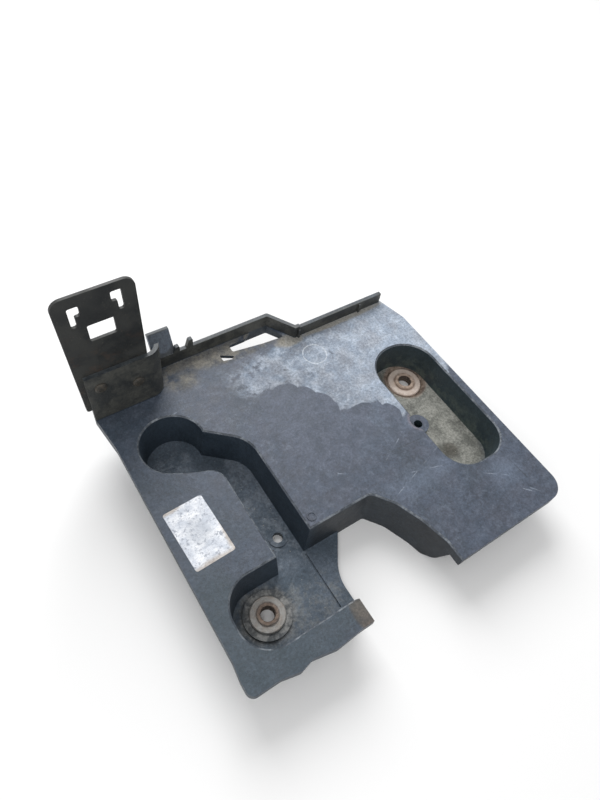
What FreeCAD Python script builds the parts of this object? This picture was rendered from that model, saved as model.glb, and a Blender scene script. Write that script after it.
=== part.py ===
import FreeCAD, Part
import math
import os
from types import SimpleNamespace

import Sketcher
from FreeCAD import Placement, Rotation, Vector

# A car battery tray: one moulded plastic deck on deep drafted pockets, two steel bolt bushes,
# and a pierced steel bracket riveted behind the tall wall at the rear left corner.
# Drawing datum: X runs right from the deck's left edge, Y runs back from its rear line (so the
# front has negative Y), and Z runs up from the plane that the tray rests on.

DRIVING = {
    # Deck
    "deck_length": 247,
    "deck_depth": 199,
    "deck_height": 32,
    "wall": 3,
    "lip_depth": 8,
    "draft": 5,
    "front_left_round": 6,
    "front_right_round": 13,
    "rear_corner_cut": 7,
    "rear_corner_run": 26,
    "left_flare": 3,
    "left_flare_run": 22,
    # Rear wall, shelf and flanges
    "rear_line": 7,
    "shelf_left": 47,
    "shelf_right": 144,
    "shelf_slant": 13,
    "shelf_back": 27.5,
    "shelf_flange_height": 11,
    "rear_flange_height": 9.5,
    "rear_flange_end": 239,
    "tall_wall_height": 44.5,
    "tall_wall_round": 10.5,
    "side_wall_slope_start": 11,
    "side_wall_slope_drop": 30,
    "flange_rib_width": 1.6,
    "flange_rib_left": 158,
    "flange_rib_right": 216,
    "window_left": 107,
    "window_right": 150,
    "window_front": 9,
    "window_step": 19.5,
    "slot_left": 96.5,
    "slot_front": 8,
    "slot_width": 9.5,
    "slot_height": 7.5,
    "tab_left": 50,
    "tab_width": 16,
    "tab_rise": 17,
    "tab_lean": 9,
    "hook_left": 76,
    "hook_width": 4,
    "hook_rise": 7.5,
    "hook_pitch": 10.5,
    # Circular pot and the channel that runs from it
    "pot_across": 33,
    "pot_back": 36,
    "pot_radius": 22,
    "channel_left": 51.5,
    "channel_width": 27.5,
    "channel_bend_below_pot": 21.5,
    "channel_bend_round": 24,
    "channel_inner_below_pot": 32.5,
    "channel_inner_round": 12,
    "channel_hole_radius": 3.5,
    "channel_hole_from_pocket": 18.5,
    "channel_ring_radius": 6.5,
    "channel_ring_height": 0.8,
    # Bolt pocket at the front left, measured from the deck's front edge
    "pocket_left": 11,
    "pocket_front_strip": 16,
    "pocket_depth": 45.5,
    "pocket_round": 20,
    "front_bolt_across": 34.5,
    "front_bolt_from_edge": 40.5,
    "front_seat_radius": 15.5,
    "front_seat_height": 1.6,
    "floor_groove_width": 1.2,
    "floor_groove_depth": 1,
    # Broken front edge of the strip before the pocket
    "strip_bite": 2.2,
    "strip_swell": 1.2,
    "strip_corner": 8,
    # Open cut-out in the front edge: each inset is from its right end, each depth from the front edge
    "cutout_right": 150,
    "cutout_depth": 66,
    "cutout_rear_inset": 23,
    "cutout_shoulder_inset": 12.5,
    "cutout_shoulder_depth": 52,
    "cutout_hip_inset": 5,
    "cutout_hip_depth": 33.5,
    "cutout_hip_end_depth": 14,
    "cutout_wall_run_out": 24,
    "ledge_reach": 26,
    "ledge_waist": 7.5,
    # Long recess at the right, measured from the deck's right edge
    "recess_edge": 6,
    "recess_width": 50,
    "recess_rear": 39.5,
    "recess_length": 112.5,
    "recess_rear_round": 24,
    "recess_front_round": 20,
    "recess_floor": 7,
    "rear_bolt_inset": 22.5,
    "rear_bolt_back": 59,
    "dish_radius": 17,
    "dish_flat_radius": 14,
    "screw_boss_back": 104,
    "screw_boss_overlap": 3.5,
    "screw_boss_radius": 8,
    "screw_boss_sink": 6,
    "screw_hole_radius": 3.2,
    # Small bevel round the pockets' rims
    "rim_bevel": 1,
    "rim_angle": 45,
    # Stiffening ribs under the deck
    "rib_width": 2,
    "rib_depth": 10,
    "rib_first_across": 105,
    "rib_pitch_across": 29,
    "rib_first_back": 26,
    "rib_pitch_back": 41,
    # Moulding mark on the deck
    "mark_inset": 5.5,
    "mark_from_cutout": 6.5,
    "mark_radius": 3.2,
    "mark_height": 0.5,
    # Steel bushes
    "fit_gap": 0.05,
    "front_sleeve_radius": 7.2,
    "front_bore_radius": 4.6,
    "front_washer_radius": 11.5,
    "front_washer_thickness": 1.6,
    "front_collar_height": 1.4,
    "rear_sleeve_radius": 8,
    "rear_bore_radius": 5,
    "rear_washer_radius": 13.4,
    "rear_washer_thickness": 2,
    "rear_collar_height": 1.8,
    "bush_bevel": 0.6,
    # Steel bracket and its rivets
    "bracket_thickness": 2,
    "bracket_width": 46.2,
    "bracket_height": 101.6,
    "bracket_round": 7,
    "bracket_foot_round": 2,
    "bracket_flare": 1.2,
    "bracket_lean": 1.2,
    "bracket_left_of_rivet": 12.2,
    "bracket_foot_below_rivet": 23.3,
    "keyhole_inset": 7.3,
    "left_keyhole_top": 8,
    "right_keyhole_top": 6.1,
    "keyhole_width": 6.6,
    "keyhole_height": 7.4,
    "keyhole_tail_width": 3.3,
    "keyhole_tail_height": 7.8,
    "keyhole_round": 1.2,
    "bracket_window_width": 16.1,
    "bracket_window_height": 13.1,
    "bracket_window_top": 25.1,
    "bracket_window_inset": 15.4,
    "left_rivet_across": 5.6,
    "left_rivet_up": 32.5,
    "right_rivet_across": 30,
    "right_rivet_up": 23.8,
    "rivet_radius": 2.2,
    "rivet_head_radius": 4,
    "rivet_head_height": 1.9,
    "rivet_tail_radius": 3.4,
    "rivet_tail_height": 1.3,
    # Blank label
    "label_width": 27,
    "label_length": 42.5,
    "label_thickness": 0.3,
    "label_across": 19,
    "label_back": 100,
    "label_turn": 2.2,
    "label_round": 1.5,
    "label_gap": 0.1,
}

doc = FreeCAD.newDocument("battery_tray")
sheet = doc.addObject("Spreadsheet::Sheet", "Sizes")
for row, (alias, number) in enumerate(DRIVING.items(), start=1):
    sheet.set(f"A{row}", alias)
    sheet.set(f"B{row}", str(number))
    sheet.setAlias(f"B{row}", alias)
doc.recompute()


class Size:
    """A size that knows its number and the sheet expression that gives it."""

    def __init__(self, number, text):
        self.number = number
        self.text = text

    def __add__(self, other):
        other = as_size(other)
        return Size(self.number + other.number, f"({self.text} + {other.text})")

    def __sub__(self, other):
        other = as_size(other)
        return Size(self.number - other.number, f"({self.text} - {other.text})")

    def __mul__(self, other):
        other = as_size(other)
        return Size(self.number * other.number, f"({self.text} * {other.text})")

    def __truediv__(self, other):
        other = as_size(other)
        return Size(self.number / other.number, f"({self.text} / {other.text})")

    def __neg__(self):
        return Size(-self.number, f"(0 - {self.text})")


def as_size(thing):
    return thing if isinstance(thing, Size) else Size(thing, str(thing))


def tangent(angle):
    return Size(math.tan(math.radians(angle.number)), f"tan({angle.text} * 1 deg)")


def cosine(angle):
    return Size(math.cos(math.radians(angle.number)), f"cos({angle.text} * 1 deg)")


def sine(angle):
    return Size(math.sin(math.radians(angle.number)), f"sin({angle.text} * 1 deg)")


dim = SimpleNamespace(**{alias: Size(float(number), f"Sizes.{alias}") for alias, number in DRIVING.items()})


def bind(thing, **properties):
    """Ties each named property of an object to a sheet expression."""
    for name, size in properties.items():
        thing.setExpression(name.replace("__", "."), as_size(size).text)


# How a free sketch is turned onto each base plane, and the axis that its level runs along
PLANE_TURN = {
    "XY_Plane": Rotation(),
    "XZ_Plane": Rotation(Vector(1, 0, 0), 90),
    "YZ_Plane": Rotation(Vector(1, 1, 1), 120),
}
LEVEL_AXIS = {"XY_Plane": "Placement__Base__z", "XZ_Plane": "Placement__Base__y", "YZ_Plane": "Placement__Base__x"}


def new_body(name):
    body = doc.addObject("PartDesign::Body", name)
    body.Label = name
    return body


def base_plane(body, role):
    return next(item for item in body.Origin.OriginFeatures if item.Role == role)


def rounded_corner(before, corner, after, radius):
    """Gives the two tangent points and the mid point of a round at one corner of an outline."""
    toward = (before - corner).normalize()
    onward = (after - corner).normalize()
    half = toward.getAngle(onward) / 2
    reach = radius / math.tan(half)
    middle = (toward + onward).normalize()
    centre = corner + middle * (radius / math.sin(half))
    return corner + toward * reach, centre - middle * radius, corner + onward * reach


def outline(body, name, role, level, corners):
    """Draws a closed outline on a level above a base plane, from corners of (x, y, round)."""
    if body:
        sketch = body.newObject("Sketcher::SketchObject", name)
        sketch.AttachmentSupport = [(base_plane(body, role), "")]
        sketch.MapMode = "FlatFace"
        bind(sketch, AttachmentOffset__Base__z=level)
    else:
        sketch = doc.addObject("Sketcher::SketchObject", name)
        sketch.Placement = Placement(Vector(), PLANE_TURN[role])
        bind(sketch, **{LEVEL_AXIS[role]: level})
    corners = [(as_size(x), as_size(y), as_size(r)) for x, y, r in corners]
    points = [Vector(x.number, y.number, 0) for x, y, r in corners]
    count = len(corners)
    rounds = []
    for index, (x, y, r) in enumerate(corners):
        here = points[index]
        if r.number > 0:
            rounds.append(rounded_corner(points[index - 1], here, points[(index + 1) % count], r.number))
        else:
            rounds.append((here, here, here))
    edges = []
    for index in range(count):
        start = rounds[index][2]
        end = rounds[(index + 1) % count][0]
        edges.append(sketch.addGeometry(Part.LineSegment(start, end), False))
    for index, (x, y, r) in enumerate(corners):
        arriving = edges[index - 1]
        leaving = edges[index]
        if r.number > 0:
            first, middle, last = rounds[index]
            arc = sketch.addGeometry(Part.Arc(first, middle, last), False)
            arc_starts = sketch.getPoint(arc, 1)
            near, far = (1, 2) if arc_starts.distanceToPoint(first) < arc_starts.distanceToPoint(last) else (2, 1)
            sketch.addConstraint(Sketcher.Constraint("Tangent", arriving, 2, arc, near))
            sketch.addConstraint(Sketcher.Constraint("Tangent", arc, far, leaving, 1))
            radius = sketch.addConstraint(Sketcher.Constraint("Radius", arc, r.number))
            sketch.setExpression(f"Constraints[{radius}]", r.text)
            mark = sketch.addGeometry(Part.Point(points[index]), True)
            sketch.addConstraint(Sketcher.Constraint("PointOnObject", mark, 1, arriving))
            sketch.addConstraint(Sketcher.Constraint("PointOnObject", mark, 1, leaving))
            held = (mark, 1)
        else:
            sketch.addConstraint(Sketcher.Constraint("Coincident", arriving, 2, leaving, 1))
            held = (leaving, 1)
        for kind, place in (("DistanceX", x), ("DistanceY", y)):
            index_of = sketch.addConstraint(Sketcher.Constraint(kind, -1, 1, held[0], held[1], place.number))
            sketch.setExpression(f"Constraints[{index_of}]", place.text)
    return sketch


def pad(body, name, sketch, length):
    feature = body.newObject("PartDesign::Pad", name)
    feature.Profile = sketch
    bind(feature, Length=length)
    return feature


def pocket(body, name, sketch, length):
    feature = body.newObject("PartDesign::Pocket", name)
    feature.Profile = sketch
    bind(feature, Length=length)
    return feature


def prism(name, role, level, corners, length, taper=None, downward=False, both=False):
    """An outline drawn on a level of the tray and extruded, drafted where a taper is given."""
    sketch = outline(None, f"{name}_outline", role, level, corners)
    solid = doc.addObject("Part::Extrusion", name)
    solid.Base = sketch
    solid.DirMode = "Normal"
    solid.Solid = True
    solid.Reversed = downward
    solid.Symmetric = both
    bind(solid, LengthFwd=length)
    if taper:
        bind(solid, TaperAngle=taper)
    return solid


def drafted(name, corners, depth):
    """A drafted prism that hangs from the deck's top and narrows as it goes down."""
    return prism(name, "XY_Plane", deck_top, corners, depth, taper=-dim.draft, downward=True)


def round_bar(name, x, y, level, height, foot, top=None):
    """A cylinder or a cone that stands at (x, y) on a level."""
    shape = doc.addObject("Part::Cylinder" if top is None else "Part::Cone", name)
    bind(shape, Placement__Base__x=x, Placement__Base__y=y, Placement__Base__z=level)
    bind(shape, Height=height)
    if top is None:
        bind(shape, Radius=foot)
    else:
        bind(shape, Radius1=foot, Radius2=top)
    return shape


def joined(name, solids):
    whole = doc.addObject("Part::MultiFuse", name)
    whole.Shapes = solids
    whole.Refine = False
    return whole


def cut_from(name, solid, tools):
    result = doc.addObject("Part::Cut", name)
    result.Base = solid
    result.Tool = tools[0] if len(tools) == 1 else joined(f"{name}_tools", tools)
    result.Refine = False
    return result


# Levels and lines that several pieces share
wall = dim.wall
deck_top = dim.deck_height
deck_under = deck_top - wall
rear_wall_face = dim.rear_line - wall
front_edge = -dim.deck_depth
left_corner = -dim.left_flare
slope = tangent(dim.draft)
shelf_flange_face = dim.shelf_back - wall
pocket_front = front_edge + dim.pocket_front_strip
pocket_rear = pocket_front + dim.pocket_depth
front_bolt_y = front_edge + dim.front_bolt_from_edge
channel_right = dim.channel_left + dim.channel_width
channel_bend = -dim.pot_back - dim.channel_bend_below_pot
channel_inner = -dim.pot_back - dim.channel_inner_below_pot
channel_hole_y = pocket_rear + dim.channel_hole_from_pocket
channel_hole_x = (dim.channel_left + channel_right) / 2 + 1.25
cutout_left = channel_right + 1
pocket_right = channel_right + 13
cutout_rear = front_edge + dim.cutout_depth
hip_across = dim.cutout_right - dim.cutout_hip_inset
hip_y = front_edge + dim.cutout_hip_depth
hip_end_y = front_edge + dim.cutout_hip_end_depth
shoulder_across = dim.cutout_right - dim.cutout_shoulder_inset
shoulder_y = front_edge + dim.cutout_shoulder_depth
cutout_rear_right = dim.cutout_right - dim.cutout_rear_inset
recess_right = dim.deck_length - dim.recess_edge
recess_left = recess_right - dim.recess_width
recess_front = -dim.recess_rear - dim.recess_length
rear_bolt_x = dim.deck_length - dim.rear_bolt_inset
screw_boss_x = recess_left + dim.screw_boss_overlap
rivet_level = {"left": dim.left_rivet_up, "right": dim.right_rivet_up}
rivet_across = {"left": dim.left_rivet_across, "right": dim.right_rivet_across}


def deck_corners(inset):
    """The deck's outline, moved inward by a distance."""
    bite = front_edge + dim.strip_bite + inset
    swell = front_edge - dim.strip_swell + inset
    strip = channel_right - dim.strip_corner
    return [
        (inset - dim.strip_swell, front_edge + dim.strip_corner + 5, 4),
        (inset - dim.strip_swell, bite, 5),
        (strip / 4, bite, 5),
        (strip * 0.42, front_edge + inset - 0.4, 4),
        (strip * 0.54, bite - 0.4, 4),
        (strip * 0.76, swell, 5),
        (strip, front_edge + inset, 3),
        (dim.deck_length - inset, front_edge + inset, dim.front_right_round - inset / 2),
        (dim.deck_length - inset, -dim.rear_corner_run + dim.rear_line, 8),
        (dim.deck_length - dim.rear_corner_cut - inset, dim.rear_line - inset, 0),
        (dim.shelf_right + dim.shelf_slant - inset / 2, dim.rear_line - inset, 0),
        (dim.shelf_right - inset / 2, dim.shelf_back - inset, 2),
        (dim.shelf_left + inset, dim.shelf_back - inset, 0),
        (dim.shelf_left + inset, dim.rear_line - inset, 0),
        (left_corner + inset, dim.rear_line - inset, 0),
        (inset, -dim.left_flare_run, 30),
        (inset, front_edge + dim.strip_corner * 2 + 8, 6),
    ]


def recess_corners(grow):
    """The long recess's outline on the deck, moved outward by a distance."""
    return [
        (recess_left - grow, recess_front - grow, dim.recess_front_round + grow),
        (recess_right + grow, recess_front - grow, dim.recess_front_round + grow),
        (recess_right + grow, -dim.recess_rear + grow, dim.recess_rear_round + grow),
        (recess_left - grow, -dim.recess_rear + grow, dim.recess_rear_round + grow),
    ]


def pocket_corners(grow):
    """The bolt pocket's outline on the deck; its right end opens into the cut-out."""
    return [
        (dim.pocket_left - grow, pocket_front - grow, dim.pocket_round + grow),
        (pocket_right, pocket_front - grow, 0),
        (pocket_right, pocket_rear + grow, 0),
        (dim.pocket_left - grow, pocket_rear + grow, dim.pocket_round + grow),
    ]


def channel_corners(grow):
    """The bent channel from the round pot down to the bolt pocket."""
    half = grow / 2
    return [
        (dim.channel_left - grow, pocket_rear - 12, 0),
        (channel_right + grow, pocket_rear - 12, 0),
        (channel_right + grow, channel_bend + half, dim.channel_bend_round + grow),
        (dim.pot_across + 19 + half, -dim.pot_back + 1.5 + grow, 0),
        (dim.pot_across - 3, -dim.pot_back, 0),
        (dim.pot_across - 8, -dim.pot_back - dim.pot_radius + 1 - grow, 0),
        (dim.channel_left - grow, channel_inner - half, dim.channel_inner_round - grow),
    ]


def cutout_corners(grow=as_size(0)):
    """The cut-out's outline on the deck, open past the front edge, moved outward by a distance."""
    past = front_edge - 1 - grow
    half = grow / 2
    return [
        (cutout_left, past, 0),
        (dim.cutout_right + grow, past, 0),
        (dim.cutout_right + grow, hip_end_y + half, 10),
        (hip_across + grow, hip_y + half, 30),
        (shoulder_across + grow, shoulder_y + half, 20),
        (cutout_rear_right + half, cutout_rear + grow, 6),
        (channel_right - 9, cutout_rear + grow, 0),
        (channel_right - 9, pocket_front + 2, 0),
        (cutout_left, pocket_front - 1, 0),
    ]


def cutout_skin_corners():
    """The wall round the cut-out, outside the cut-out's own outline."""
    return [
        (channel_right + dim.ledge_waist, front_edge, 0),
        (dim.cutout_right + wall, front_edge, 0),
        (dim.cutout_right + wall, hip_end_y + wall / 2, 8),
        (hip_across + wall, hip_y + wall / 2, 30),
        (shoulder_across + wall, shoulder_y + wall / 2, 20),
        (cutout_rear_right + wall / 2, cutout_rear + wall, 6),
        (channel_right - 6, cutout_rear + wall, 0),
        (channel_right - 6, pocket_front + 4, 0),
        (channel_right + dim.ledge_waist, pocket_front + 4, 0),
    ]


def label_corners(grow):
    """The label's outline about its own middle, moved outward by a distance."""
    across = dim.label_width / 2 + grow
    along = dim.label_length / 2 + grow
    return [(-across, -along, dim.label_round), (across, -along, dim.label_round),
            (across, along, dim.label_round), (-across, along, dim.label_round)]


def make_tray():
    # Deck with a lip that hangs round its edge
    lip_level = deck_top - dim.lip_depth
    deck = prism("deck", "XY_Plane", lip_level, deck_corners(as_size(0)), dim.lip_depth)
    hollow = prism("deck_hollow", "XY_Plane", lip_level, deck_corners(wall), dim.lip_depth - wall)
    lipped_deck = cut_from("lipped_deck", deck, [hollow])

    # Outer skins of the pot, channel, pocket, recess and cut-out, drafted down to the resting plane
    pot_top = dim.pot_radius + wall
    skins = [
        round_bar("pot_skin", dim.pot_across, -dim.pot_back, 0, deck_top, pot_top - deck_top * slope, pot_top),
        drafted("channel_skin", channel_corners(wall), deck_top),
        drafted("pocket_skin", pocket_corners(wall), deck_top),
        drafted("recess_skin", recess_corners(wall), deck_top - dim.recess_floor + wall),
        round_bar("dish_skin", rear_bolt_x, -dim.rear_bolt_back, 0, dim.recess_floor,
                  dim.dish_flat_radius + wall, dim.dish_radius + wall),
        drafted("cutout_skin", cutout_skin_corners(), deck_top),
        round_bar("screw_boss_skin", screw_boss_x, -dim.screw_boss_back, dim.recess_floor + wall,
                  deck_under - dim.recess_floor, dim.screw_boss_radius + wall * 0.8),
    ]

    # Stiffening ribs under the deck; the pockets are cut through them afterwards
    rib_level = deck_under - dim.rib_depth
    ribs = []
    for count in range(3):
        middle = dim.rib_first_across + dim.rib_pitch_across * count
        ribs.append(prism(f"cross_rib_{count + 1}", "XY_Plane", rib_level, [
            (middle - dim.rib_width / 2, front_edge + wall / 2, 0),
            (middle + dim.rib_width / 2, front_edge + wall / 2, 0),
            (middle + dim.rib_width / 2, rear_wall_face + wall / 2, 0),
            (middle - dim.rib_width / 2, rear_wall_face + wall / 2, 0),
        ], dim.rib_depth))
    for count in range(4):
        middle = -dim.rib_first_back - dim.rib_pitch_back * count
        ribs.append(prism(f"long_rib_{count + 1}", "XY_Plane", rib_level, [
            (wall / 2, middle - dim.rib_width / 2, 0),
            (dim.deck_length - wall / 2, middle - dim.rib_width / 2, 0),
            (dim.deck_length - wall / 2, middle + dim.rib_width / 2, 0),
            (wall / 2, middle + dim.rib_width / 2, 0),
        ], dim.rib_depth))
    moulding = joined("moulding", [lipped_deck] + skins + ribs)

    # Cavities: the pot, channel and bolt pocket share one floor, and the cut-out goes right through
    basin_depth = deck_under
    boss_top = deck_top - dim.screw_boss_sink
    cavities = [
        drafted("cutout", cutout_corners(), deck_top),
        prism("cutout_run_out", "YZ_Plane", hip_across, [
            (front_edge + dim.cutout_wall_run_out, -1, 0),
            (front_edge - 4, -1, 0),
            (front_edge - 4, lip_level, 0),
            (front_edge + 8, lip_level, 0),
            (front_edge + 14, 6, 12),
        ], 34, both=True),
        round_bar("pot", dim.pot_across, -dim.pot_back, wall, basin_depth,
                  dim.pot_radius - basin_depth * slope, dim.pot_radius),
        drafted("channel", channel_corners(as_size(0)), basin_depth),
        drafted("bolt_pocket", pocket_corners(as_size(0)), basin_depth),
        drafted("recess", recess_corners(as_size(0)), deck_top - dim.recess_floor),
        round_bar("dish", rear_bolt_x, -dim.rear_bolt_back, wall, dim.recess_floor - wall,
                  dim.dish_flat_radius, dim.dish_radius),
    ]
    bevel = dim.rim_bevel
    for name, corners in (("recess", recess_corners(bevel)), ("pocket", pocket_corners(bevel)),
                          ("channel", channel_corners(bevel)), ("cutout", cutout_corners(bevel))):
        cavities.append(prism(f"{name}_rim", "XY_Plane", deck_top, corners, bevel, taper=-dim.rim_angle, downward=True))
    cavities.append(round_bar("pot_rim", dim.pot_across, -dim.pot_back, deck_top - bevel, bevel,
                              dim.pot_radius, dim.pot_radius + bevel))
    hollowed = cut_from("hollowed", moulding, cavities)

    # The low ledge that runs from the bolt pocket into the cut-out, and the bosses on the floors
    ledge_rear = cutout_rear - wall / 2
    ledge_front = pocket_front + 2
    ledge_tip = channel_right + dim.ledge_waist
    boss_foot = dim.recess_floor - wall / 2
    additions = [
        prism("ledge", "XY_Plane", 0, [
            (channel_right - 12, ledge_front, 0),
            (ledge_tip, ledge_front, 2),
            (ledge_tip, (ledge_front + ledge_rear) / 2 - 3, 30),
            (channel_right + dim.ledge_reach, ledge_rear, 0),
            (channel_right - 12, ledge_rear, 0),
        ], wall),
        round_bar("screw_boss", screw_boss_x, -dim.screw_boss_back, boss_foot, boss_top - boss_foot,
                  dim.screw_boss_radius),
        round_bar("front_seat", dim.front_bolt_across, front_bolt_y, 0, wall + dim.front_seat_height,
                  dim.front_seat_radius),
        round_bar("channel_ring", channel_hole_x, channel_hole_y, 0,
                  wall + dim.channel_ring_height, dim.channel_ring_radius),
        round_bar("mark", channel_right + dim.mark_inset, cutout_rear + dim.mark_from_cutout, deck_under, wall + dim.mark_height, dim.mark_radius),
    ]

    # Rear shelf flange, its slanted end, the low flange along the rear line and its small ribs
    slant_end = dim.shelf_right + dim.shelf_slant
    additions.append(prism("shelf_flange", "XY_Plane", deck_under, [
        (dim.shelf_left, shelf_flange_face, 0),
        (dim.shelf_right - wall / 2, shelf_flange_face, 1),
        (slant_end - wall / 2, rear_wall_face, 0),
        (slant_end + wall, rear_wall_face, 0),
        (slant_end + wall, dim.rear_line, 0),
        (slant_end, dim.rear_line, 0),
        (dim.shelf_right, dim.shelf_back, 2),
        (dim.shelf_left, dim.shelf_back, 0),
    ], wall + dim.shelf_flange_height))
    additions.append(prism("rear_flange", "XY_Plane", deck_under, [
        (slant_end, rear_wall_face, 0),
        (dim.rear_flange_end, rear_wall_face, 0),
        (dim.rear_flange_end, dim.rear_line, 0),
        (slant_end, dim.rear_line, 0),
    ], wall + dim.rear_flange_height))
    for name, at in (("left_flange_rib", dim.flange_rib_left), ("right_flange_rib", dim.flange_rib_right)):
        additions.append(prism(name, "XY_Plane", deck_under, [
            (at, rear_wall_face - dim.flange_rib_width, 0),
            (at + dim.flange_rib_width, rear_wall_face - dim.flange_rib_width, 0),
            (at + dim.flange_rib_width, rear_wall_face + wall / 2, 0),
            (at, rear_wall_face + wall / 2, 0),
        ], wall + dim.rear_flange_height - 1))

    # Tall wall at the rear left, round the corner and sloping down to the shelf flange
    additions.append(prism("tall_wall", "XY_Plane", deck_under, [
        (left_corner, rear_wall_face, 0),
        (dim.shelf_left + wall, rear_wall_face, dim.tall_wall_round),
        (dim.shelf_left + wall, dim.shelf_back, 0),
        (dim.shelf_left, dim.shelf_back, 0),
        (dim.shelf_left, dim.rear_line, dim.tall_wall_round - wall),
        (left_corner, dim.rear_line, 0),
    ], wall + dim.tall_wall_height))

    # Leaning cable tab and two hooks on the shelf flange
    flange_top = deck_top + dim.shelf_flange_height
    additions.append(prism("tab", "YZ_Plane", dim.tab_left + dim.tab_width / 2, [
        (shelf_flange_face, flange_top - 1, 0),
        (dim.shelf_back, flange_top - 1, 0),
        (dim.shelf_back + dim.tab_lean, flange_top + dim.tab_rise - 2, 1),
        (dim.shelf_back + dim.tab_lean, flange_top + dim.tab_rise, 1),
        (shelf_flange_face + dim.tab_lean, flange_top + dim.tab_rise, 1),
    ], dim.tab_width, both=True))
    for count, rise in ((0, dim.hook_rise), (1, dim.hook_rise - 2.5)):
        left = dim.hook_left - dim.hook_pitch * count
        additions.append(prism(f"hook_{count + 1}", "XZ_Plane", dim.shelf_back - wall / 2, [
            (left - 1.5, flange_top - 1, 0),
            (left + dim.hook_width, flange_top - 1, 0),
            (left + dim.hook_width, flange_top + rise, 1),
            (left + 1, flange_top + rise, 1),
        ], wall, both=True))
    built_up = joined("built_up", [hollowed] + additions)

    # Holes, the floor groove, the shelf's window and slot, and the side wall's slope
    wall_top = deck_top + dim.tall_wall_height
    groove_left = channel_right - 2.5 - dim.floor_groove_width / 2
    holes = [
        round_bar("screw_boss_mouth", screw_boss_x, -dim.screw_boss_back, boss_top,
                  dim.screw_boss_sink + 1, dim.screw_boss_radius),
        round_bar("screw_hole", screw_boss_x, -dim.screw_boss_back, -1, deck_top + 2,
                  dim.screw_hole_radius),
        round_bar("front_bush_hole", dim.front_bolt_across, front_bolt_y, -1, deck_top,
                  dim.front_sleeve_radius + dim.fit_gap),
        round_bar("rear_bush_hole", rear_bolt_x, -dim.rear_bolt_back, -1, deck_top,
                  dim.rear_sleeve_radius + dim.fit_gap),
        round_bar("channel_hole", channel_hole_x, channel_hole_y, -1, deck_top,
                  dim.channel_hole_radius),
        round_bar("mark_middle", channel_right + dim.mark_inset, cutout_rear + dim.mark_from_cutout, deck_top, dim.mark_height + 1,
                  dim.mark_radius - 0.9),
        prism("floor_groove", "XY_Plane", wall - dim.floor_groove_depth, [
            (groove_left, ledge_front + 3, 0),
            (groove_left + dim.floor_groove_width, ledge_front + 3, 0),
            (groove_left + dim.floor_groove_width, ledge_rear - 3, 0),
            (groove_left, ledge_rear - 3, 0),
        ], dim.floor_groove_depth + 1),
        prism("window", "XY_Plane", deck_under - 1, [
            (dim.window_left, dim.window_step - 5.5, 1.5),
            (dim.window_left + 24, dim.window_front + 1.5, 3),
            (dim.window_right - 1, dim.window_front, 1),
            (dim.shelf_right - wall / 2 - 0.5, shelf_flange_face, 0),
            (dim.window_left + 20, shelf_flange_face, 3),
            (dim.window_left + 14, dim.window_step + 1, 2),
            (dim.window_left, dim.window_step + 1, 1.5),
        ], wall + 2),
        prism("slot", "XY_Plane", deck_under - 1, [
            (dim.slot_left, dim.slot_front + 1.5, 1),
            (dim.slot_left + dim.slot_width - 3, dim.slot_front, 1),
            (dim.slot_left + dim.slot_width, dim.slot_front + 2, 0.5),
            (dim.slot_left, dim.slot_front + dim.slot_height, 0.5),
        ], wall + 2),
        prism("side_wall_slope", "YZ_Plane", dim.shelf_left + wall / 2, [
            (dim.side_wall_slope_start, wall_top + 1, 0),
            (dim.shelf_back - wall, wall_top - dim.side_wall_slope_drop, 6),
            (dim.shelf_back + 2, wall_top - dim.side_wall_slope_drop, 0),
            (dim.shelf_back + 2, wall_top + 1, 0),
        ], wall * 3, both=True),
    ]
    seat = doc.addObject("Part::Extrusion", "label_seat")
    seat.Base = outline(None, "label_seat_outline", "XY_Plane", deck_top - dim.label_thickness,
                        label_corners(dim.label_gap))
    seat.Base.Placement = Placement(Vector(), Rotation(Vector(0, 0, 1), dim.label_turn.number))
    bind(seat.Base, Placement__Base__x=dim.label_across, Placement__Base__y=-dim.label_back)
    seat.DirMode = "Normal"
    seat.Solid = True
    bind(seat, LengthFwd=dim.label_thickness + 1)
    holes.append(seat)
    for side in ("left", "right"):
        hole = doc.addObject("Part::Cylinder", f"{side}_rivet_hole")
        hole.Placement = Placement(Vector(), Rotation(Vector(1, 0, 0), 90))
        bind(hole, Placement__Base__x=rivet_across[side], Placement__Base__y=dim.rear_line + 1)
        bind(hole, Placement__Base__z=deck_top + rivet_level[side])
        bind(hole, Radius=dim.rivet_radius + dim.fit_gap, Height=wall + 2)
        holes.append(hole)
    tray = cut_from("tray", built_up, holes)
    tray.Label = "tray"
    return tray


def turned_piece(name, profile):
    """A piece turned about the Z axis from a profile of (radius, height, round)."""
    body = new_body(name)
    sketch = outline(body, f"{name}_profile", "XZ_Plane", 0, profile)
    turn = body.newObject("PartDesign::Revolution", f"{name}_turn")
    turn.Profile = sketch
    turn.ReferenceAxis = (sketch, ["V_Axis"])
    turn.Angle = 360
    return body


def make_bush(name, seat, sleeve, bore, washer, thickness, collar):
    """A stepped steel bush: sleeve through the floor, washer on the seat, raised collar."""
    shoulder = seat + thickness
    edge = dim.bush_bevel
    return turned_piece(name, [
        (bore, 0, 0),
        (sleeve, 0, 0),
        (sleeve, seat, 0),
        (washer, seat, 0),
        (washer, shoulder - edge, 0),
        (washer - edge, shoulder, 0),
        (sleeve, shoulder, 0),
        (sleeve, shoulder + collar - edge, 0),
        (sleeve - edge, shoulder + collar, 0),
        (bore + edge, shoulder + collar, 0),
        (bore, shoulder + collar - edge, 0),
    ])


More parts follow.
